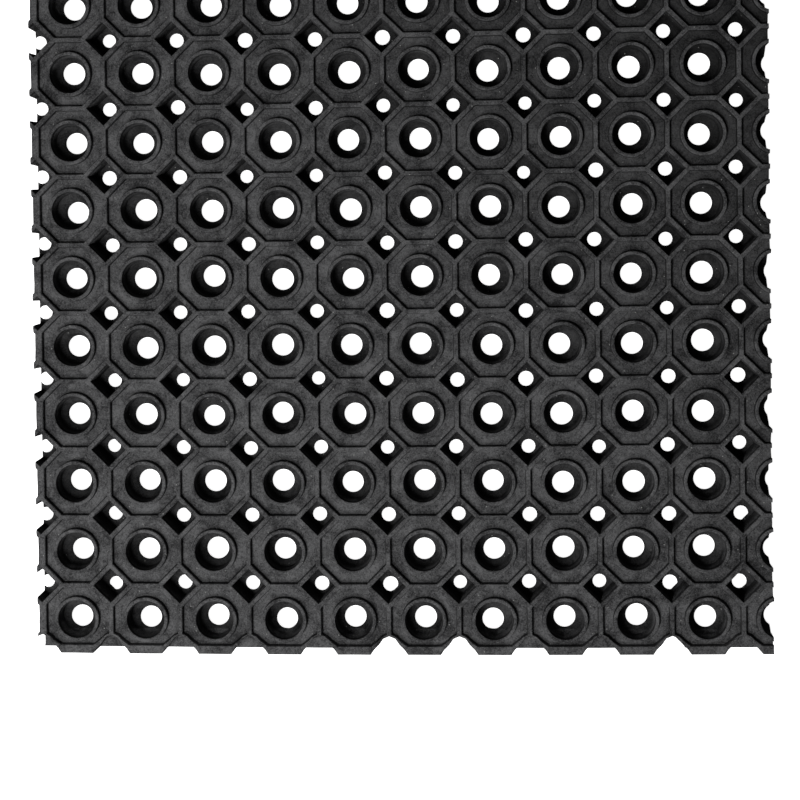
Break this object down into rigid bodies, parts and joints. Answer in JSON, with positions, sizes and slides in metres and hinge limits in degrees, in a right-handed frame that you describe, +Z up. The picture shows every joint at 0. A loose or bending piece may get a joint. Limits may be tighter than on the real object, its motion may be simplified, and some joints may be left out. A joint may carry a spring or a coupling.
{
  "type": "recycled rubber ring mat",
  "caption": "Open drainage mat of recycled rubber with octagonal cells, round and diamond holes, moulded edges and one side cut to width.",
  "frame": {"origin": "middle of the underside", "axes": "+X across the mat towards its cut side, +Y along its length away from the near moulded edge, +Z up from the underside to the walking face"},
  "size_m": [0.4998, 0.6058, 0.022],
  "materials": {
    "rubber": "matte"
  },
  "bodies": {
    "root": {"ring_mat": "rubber"}
  },
  "joints": []
}
